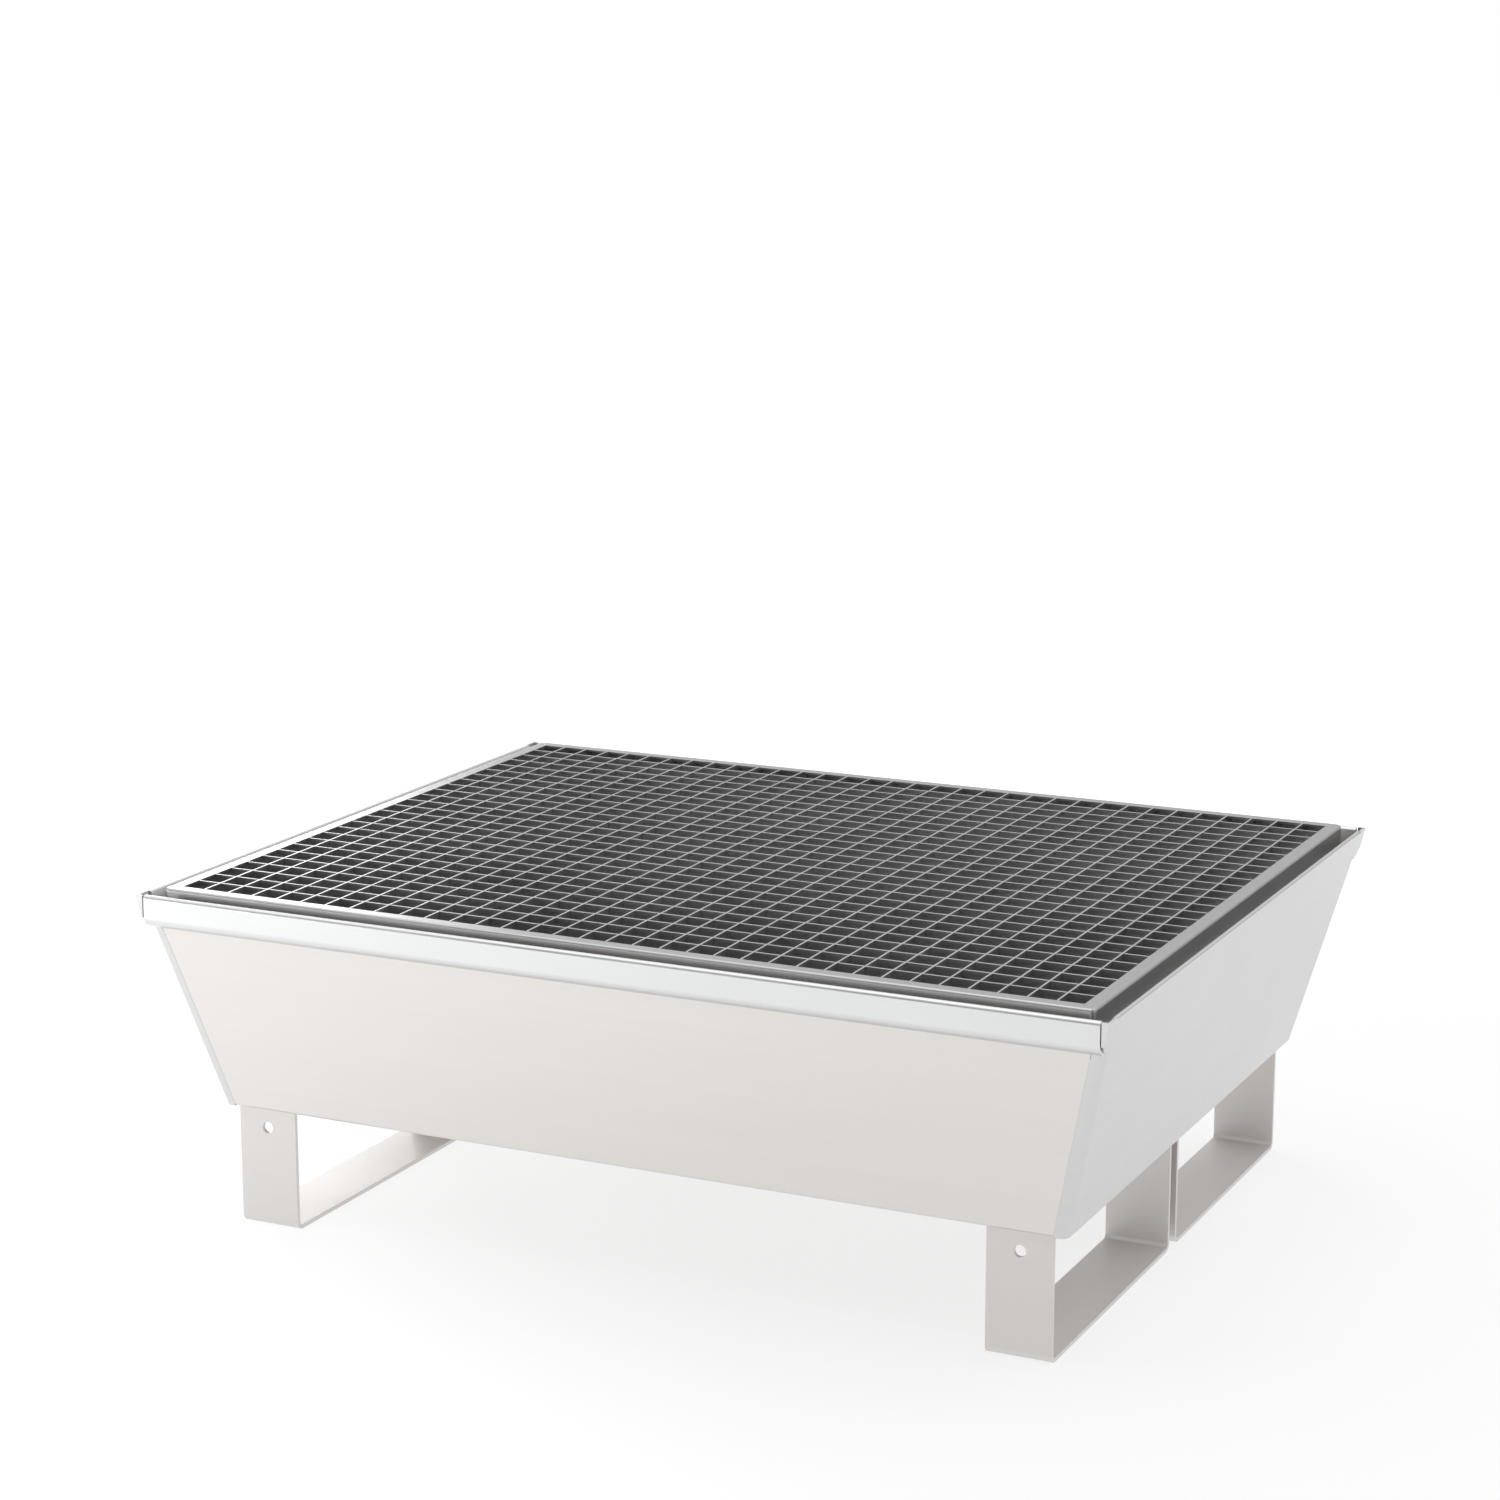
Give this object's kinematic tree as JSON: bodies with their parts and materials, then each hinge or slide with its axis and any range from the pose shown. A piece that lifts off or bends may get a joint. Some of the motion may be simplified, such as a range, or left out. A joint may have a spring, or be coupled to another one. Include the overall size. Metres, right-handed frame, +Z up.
{
  "type": "spill containment pallet",
  "caption": "Tapered stainless sump on bent-strap feet, with a lift-out bar grating that drums stand on so that leaks collect below.",
  "frame": {"origin": "on the floor, under the middle of the pallet", "axes": "+X along the length, +Y from the front to the back, +Z up"},
  "size_m": [1.21, 0.956, 0.422],
  "materials": {
    "sheet_steel": "satin stainless sheet, pale and even",
    "strap_steel": "satin stainless strap",
    "rail_steel": "mill-finish stainless angle",
    "frame_steel": "satin stainless angle",
    "bar_steel": "mill-finish stainless bars"
  },
  "bodies": {
    "sump": {"sump_trough": "sheet_steel", "end_wall_left": "sheet_steel", "end_wall_right": "sheet_steel", "support_rail_front": "rail_steel", "support_rail_back": "rail_steel", "support_rail_left": "rail_steel", "support_rail_right": "rail_steel", "foot_front_left": "strap_steel", "foot_front_right": "strap_steel", "foot_back_left": "strap_steel", "foot_back_right": "strap_steel"},
    "grating": {"grating_frame_front": "frame_steel", "grating_frame_back": "frame_steel", "grating_frame_left": "frame_steel", "grating_frame_right": "frame_steel", "bearing_bar_01": "bar_steel", "bearing_bar_02": "bar_steel", "bearing_bar_03": "bar_steel", "bearing_bar_04": "bar_steel", "bearing_bar_05": "bar_steel", "bearing_bar_06": "bar_steel", "bearing_bar_07": "bar_steel", "bearing_bar_08": "bar_steel", "bearing_bar_09": "bar_steel", "bearing_bar_10": "bar_steel", "bearing_bar_11": "bar_steel", "bearing_bar_12": "bar_steel", "bearing_bar_13": "bar_steel", "bearing_bar_14": "bar_steel", "bearing_bar_15": "bar_steel", "bearing_bar_16": "bar_steel", "bearing_bar_17": "bar_steel", "bearing_bar_18": "bar_steel", "bearing_bar_19": "bar_steel", "bearing_bar_20": "bar_steel", "bearing_bar_21": "bar_steel", "bearing_bar_22": "bar_steel", "bearing_bar_23": "bar_steel", "bearing_bar_24": "bar_steel", "bearing_bar_25": "bar_steel", "bearing_bar_26": "bar_steel", "bearing_bar_27": "bar_steel", "bearing_bar_28": "bar_steel", "bearing_bar_29": "bar_steel", "bearing_bar_30": "bar_steel", "bearing_bar_31": "bar_steel", "bearing_bar_32": "bar_steel", "bearing_bar_33": "bar_steel", "cross_bar_1": "bar_steel", "cross_bar_2": "bar_steel", "cross_bar_3": "bar_steel", "cross_bar_4": "bar_steel", "cross_bar_5": "bar_steel"}
  },
  "joints": [
    {"name": "grating_lift", "type": "slide", "parent": "sump", "child": "grating", "axis": [0, 0, 1], "range_m": [0, 0.3]}
  ]
}
